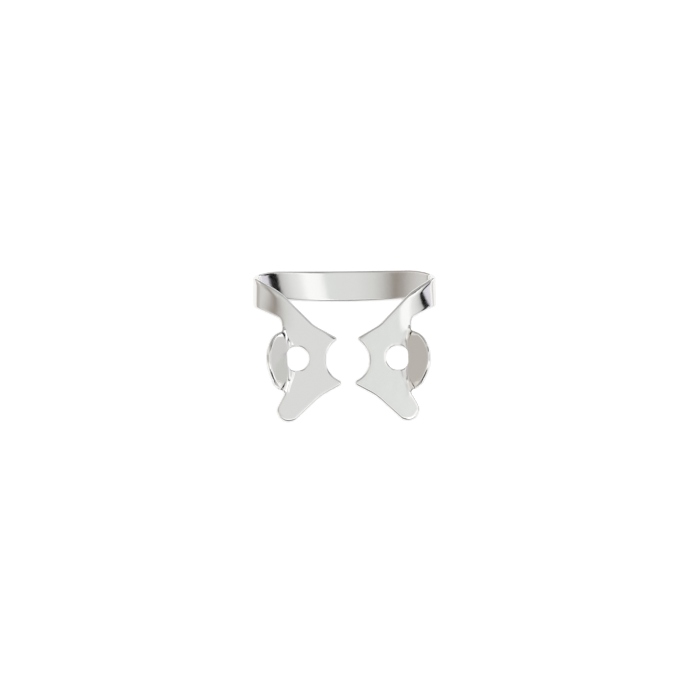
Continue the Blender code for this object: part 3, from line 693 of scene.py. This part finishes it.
# Finish of the steel: sizes in millimetres, and the range of its roughness. The rolling lines are finer in
# life and drawn as coarse as they need to show; the tumbling leaves low swells and patches of slightly
# different gloss
ROLLING_LINE_SPACING = 0.15
ROLLING_LINE_LENGTH = 6.25
ROLLING_LINE_HEIGHT = 0.004
SWELL_SIZE = 1.6
SWELL_HEIGHT = 0.02
GLOSS_PATCH_SIZE = 1.1
ROUGHNESS_RANGE = (0.055, 0.105)


def tumbled_spring_steel():
    """Hardened stainless spring steel, rolled, stamped and tumbled bright: clear but slightly wavy
    reflections and faint rolling lines along the sheet."""
    steel = bpy.data.materials.new("tumbled_spring_steel")
    steel.use_nodes = True
    tree = steel.node_tree
    shader = tree.nodes["Principled BSDF"]
    shader.inputs["Base Color"].default_value = linear("#E7E7E5")
    shader.inputs["Metallic"].default_value = 1.0

    # the lines follow the flat sheet, the swells and patches the formed one
    flat = add_node(tree, "ShaderNodeAttribute", attribute_name="blank_place").outputs["Vector"]
    per_length = 1.0 / (ROLLING_LINE_LENGTH * MM)
    per_spacing = 1.0 / (ROLLING_LINE_SPACING * MM)
    stretched = add_node(tree, "ShaderNodeMapping",
                         {"Vector": flat, "Scale": (per_length, per_spacing, per_length)}).outputs[0]
    lines = add_node(tree, "ShaderNodeTexNoise",
                     {"Vector": stretched, "Scale": 1.0, "Detail": 3.0, "Roughness": 0.6}).outputs[0]
    place = add_node(tree, "ShaderNodeTexCoord").outputs["Object"]
    swell = add_node(tree, "ShaderNodeTexNoise",
                     {"Vector": place, "Scale": 1.0 / (SWELL_SIZE * MM), "Detail": 2.0,
                      "Roughness": 0.5}).outputs[0]
    patches = add_node(tree, "ShaderNodeTexNoise",
                       {"Vector": place, "Scale": 1.0 / (GLOSS_PATCH_SIZE * MM), "Detail": 4.0,
                        "Roughness": 0.6}).outputs[0]
    rough = add_node(tree, "ShaderNodeMapRange",
                     {"Value": patches, "From Min": 0.3, "From Max": 0.7,
                      "To Min": ROUGHNESS_RANGE[0], "To Max": ROUGHNESS_RANGE[1]}).outputs[0]
    tree.links.new(rough, shader.inputs["Roughness"])
    normal = add_node(tree, "ShaderNodeBump",
                      {"Height": sheet_relief(tree), "Strength": 1.0, "Distance": 1.0}).outputs[0]
    for height, strength, size in ((swell, 0.35, SWELL_HEIGHT), (lines, 0.25, ROLLING_LINE_HEIGHT)):
        normal = add_node(tree, "ShaderNodeBump",
                          {"Height": height, "Normal": normal, "Strength": strength,
                           "Distance": size * MM}).outputs[0]
    tree.links.new(normal, shader.inputs["Normal"])
    return steel


# The light tent round the clamp, in directions seen from it: degrees to its right (+) or left (-) of
# straight above the jaws, with the brightness of the tent there. The narrow black card that gives
# polished steel its crisp line hangs on the right.
TENT_ACROSS = (
    (-180.0, "#BEBEBE"), (-120.0, "#C6C6C5"), (-98.0, "#C2C0BE"), (-88.0, "#B3AEA9"), (-76.0, "#AFABA6"),
    (-66.0, "#B2AFAC"), (-56.0, "#C4C2C0"), (-48.0, "#C6C4C3"), (-41.5, "#B8B5B3"), (-36.0, "#A19C98"),
    (-30.5, "#8E8781"), (-25.5, "#A9A6A3"), (-20.5, "#BDBCBA"), (-15.7, "#C8C8C7"), (-5.0, "#D1D1D2"),
    (13.6, "#D1D3D2"), (15.2, "#DFE0DF"), (17.8, "#EEEEEE"), (27.0, "#F0F0F0"), (32.0, "#DCDCDC"),
    (37.5, "#D2D2D2"), (43.0, "#BFBEBE"), (45.8, "#B0AFAF"), (46.4, "#050505"), (52.6, "#050505"),
    (53.4, "#CDCAD3"), (60.0, "#D4D2D9"), (67.0, "#E8E8E8"), (78.0, "#E4E4E4"), (86.0, "#C6C4C4"),
    (110.0, "#C4C2C2"), (180.0, "#BEBEBE"),
)
# and the same from the mesial side (-) to the distal side (+)
TENT_ALONG = (
    (-90.0, "#A8A8A8"), (-32.0, "#A8A8A8"), (-24.0, "#D8D8D8"), (-7.0, "#D8D8D8"), (-1.5, "#BCBCBC"),
    (16.0, "#BCBCBC"), (22.0, "#DCDCDC"), (38.0, "#DCDCDC"), (46.0, "#B4B4B4"), (90.0, "#ACACAC"),
)
# brightness of the tent: its tones along darken its tones across, and the second value makes up for that
TENT_STRENGTH = 1.35
ALONG_LEVEL = 2.0
# grey cards, two on the distal side and two on the mesial side: the share of light that each leaves, and
# its soft borders, in degrees to the right, off the middle or distal, from where the card starts to show
# to where it is full
GREY_CARDS = (
    (0.12, (("right", 6.0, 14.0), ("right", 52.0, 44.0), ("distal", 20.0, 25.0), ("distal", 42.0, 36.0))),
    (0.58, (("off middle", 30.0, 20.0), ("distal", 17.0, 22.0))),
    (0.12, (("off middle", 48.0, 38.0), ("distal", -24.0, -30.0), ("distal", -64.0, -56.0))),
    (0.10, (("off middle", 26.0, 18.0), ("distal", -24.0, -30.0))),
)
# the tent's seams and its card fan out toward the distal side: degrees of lean for each degree that the
# view goes distal of their middle, at the middle seam and, added to it, for each degree farther right
SEAM_LEAN = 0.16
SEAM_FAN = 0.009
SEAM_MIDDLE = 8.4 * DEGREE


def light_tent():
    """White cloth tent over the clamp, with its brighter panel, its shaded side and its black card."""
    world = bpy.data.worlds.new("light_tent")
    bpy.context.scene.world = world
    world.use_nodes = True
    tree = world.node_tree
    tree.nodes.clear()
    ray = add_node(tree, "ShaderNodeTexCoord").outputs["Generated"]
    # the tent is set up square to the jaws, which lean toward their mesial side
    square = add_node(tree, "ShaderNodeVectorRotate", {"Vector": ray, "Angle": -LYING_TILT},
                      rotation_type="X_AXIS").outputs[0]
    parts = add_node(tree, "ShaderNodeSeparateXYZ", (square,)).outputs
    along = add_node(tree, "ShaderNodeMath", (parts["Y"],), operation="ARCSINE").outputs[0]
    upright = add_node(tree, "ShaderNodeMath", (parts["X"], parts["Z"]), operation="ARCTAN2").outputs[0]
    lean = add_node(tree, "ShaderNodeMath", (upright, SEAM_FAN / DEGREE, SEAM_LEAN),
                    operation="MULTIPLY_ADD").outputs[0]
    distal = add_node(tree, "ShaderNodeMath", (SEAM_MIDDLE, along), operation="SUBTRACT").outputs[0]
    across = add_node(tree, "ShaderNodeMath", (distal, lean, upright), operation="MULTIPLY_ADD").outputs[0]
    colours = []
    for angle, stops, limit in ((across, TENT_ACROSS, 180.0), (along, TENT_ALONG, 90.0)):
        share = add_node(tree, "ShaderNodeMapRange",
                         {"Value": angle, "From Min": -limit * DEGREE, "From Max": limit * DEGREE}).outputs[0]
        ramp = add_node(tree, "ShaderNodeValToRGB", (share,))
        band = ramp.color_ramp
        band.elements[0].position = 0.0
        band.elements[1].position = 1.0
        for degrees, _ in stops[1:-1]:
            band.elements.new(0.5 + 0.5 * degrees / limit)
        for stop, (_, code) in zip(band.elements, stops):
            stop.color = linear(code)
        colours.append(ramp.outputs["Color"])
    # a Mix node's inputs 6 and 7 are its colours
    mixed = add_node(tree, "ShaderNodeMix", {0: 1.0, 6: colours[0], 7: colours[1]}, data_type="RGBA",
                     blend_type="MULTIPLY").outputs[2]
    level = TENT_STRENGTH * ALONG_LEVEL
    off_side = add_node(tree, "ShaderNodeMath", (across,), operation="ABSOLUTE").outputs[0]
    angles = {"right": across, "off middle": off_side, "distal": along}
    for left, borders in GREY_CARDS:
        card = 1.0
        for way, start, full in borders:
            share = add_node(tree, "ShaderNodeMapRange",
                             {"Value": angles[way], "From Min": start * DEGREE,
                              "From Max": full * DEGREE}).outputs[0]
            card = add_node(tree, "ShaderNodeMath", (card, share), operation="MULTIPLY").outputs[0]
        leaves = add_node(tree, "ShaderNodeMapRange",
                          {"Value": card, "To Min": 1.0, "To Max": left}).outputs[0]
        level = add_node(tree, "ShaderNodeMath", (level, leaves), operation="MULTIPLY").outputs[0]
    glow = add_node(tree, "ShaderNodeBackground", (mixed, level)).outputs[0]
    # the camera sees plain white behind the clamp
    white = add_node(tree, "ShaderNodeBackground", (linear("#FFFFFF"), 1.0)).outputs[0]
    seen = add_node(tree, "ShaderNodeLightPath").outputs["Is Camera Ray"]
    both = add_node(tree, "ShaderNodeMixShader", (seen, glow, white)).outputs[0]
    add_node(tree, "ShaderNodeOutputWorld", {"Surface": both})


# Floor: how far it reaches each way, in millimetres, and the light that it gives off toward the camera
# and in reflections
FLOOR_REACH = 1500.0
FLOOR_GLOW = 0.5


def pale_floor():
    """White sweep of matt acrylic under the clamp, which keeps the clamp's soft shadow."""
    paint = bpy.data.materials.new("matt_white_acrylic")
    paint.use_nodes = True
    tree = paint.node_tree
    tree.nodes.clear()
    matt = add_node(tree, "ShaderNodeBsdfDiffuse", (linear("#F2F3F5"),)).outputs[0]
    rays = add_node(tree, "ShaderNodeLightPath").outputs
    shown = rays["Is Camera Ray"]
    for kind in ("Is Glossy Ray", "Is Transmission Ray"):
        shown = add_node(tree, "ShaderNodeMath", (shown, rays[kind]), operation="MAXIMUM").outputs[0]
    lift = add_node(tree, "ShaderNodeMath", (shown, FLOOR_GLOW), operation="MULTIPLY").outputs[0]
    glow = add_node(tree, "ShaderNodeEmission", (linear("#FFFFFF"), lift)).outputs[0]
    both = add_node(tree, "ShaderNodeAddShader", (matt, glow)).outputs[0]
    add_node(tree, "ShaderNodeOutputMaterial", {"Surface": both})
    reach = FLOOR_REACH * MM
    mesh = bpy.data.meshes.new("pale_floor")
    mesh.from_pydata([(-reach, -reach, 0.0), (reach, -reach, 0.0), (reach, reach, 0.0), (-reach, reach, 0.0)],
                     [], [(0, 1, 2, 3)])
    mesh.materials.append(paint)
    floor = bpy.data.objects.new("pale_floor", mesh)
    bpy.context.scene.collection.objects.link(floor)


# Camera: the angles of its view, then in millimetres its distance from the clamp, the width that the frame
# takes in there, a point between the jaws, and how far right and up of it the frame has its middle
VIEW_AZIMUTH = -9.24 * DEGREE
VIEW_ELEVATION = 61.26 * DEGREE
VIEW_ROLL = -7.55 * DEGREE
VIEW_DISTANCE = 400.0
VIEW_WIDTH = 98.23
VIEW_MIDDLE = (0.0, -0.768, 3.659)
VIEW_SHIFT = (0.462, -1.166)
SENSOR_WIDTH = 36.0


def camera():
    """The photograph's view: down on the jaws, a little from the left and the mesial side."""
    azimuth, elevation, roll = VIEW_AZIMUTH, VIEW_ELEVATION, VIEW_ROLL
    right = Vector((math.cos(azimuth), math.sin(azimuth), 0.0))
    ahead = Vector((-math.sin(azimuth) * math.cos(elevation), math.cos(azimuth) * math.cos(elevation),
                    -math.sin(elevation)))
    above = right.cross(ahead)
    turned_right = math.cos(roll) * right - math.sin(roll) * above
    turned_above = math.sin(roll) * right + math.cos(roll) * above
    aim = (Vector(VIEW_MIDDLE) + VIEW_SHIFT[0] * turned_right + VIEW_SHIFT[1] * turned_above) * MM
    lens = bpy.data.cameras.new("camera")
    lens.sensor_width = SENSOR_WIDTH
    lens.lens = SENSOR_WIDTH * VIEW_DISTANCE / VIEW_WIDTH
    lens.clip_start = 0.01
    view = bpy.data.objects.new("camera", lens)
    turn = Matrix((turned_right, turned_above, -ahead)).transposed().to_4x4()
    view.matrix_world = Matrix.Translation(aim - ahead * VIEW_DISTANCE * MM) @ turn
    bpy.context.scene.collection.objects.link(view)
    bpy.context.scene.camera = view


spring_steel = tumbled_spring_steel()
clamp = pressed_clamp(spring_steel)
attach(clamp, "root")
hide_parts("clamp")
light_tent()
pale_floor()
camera()
bpy.context.scene.view_settings.view_transform = "Standard"
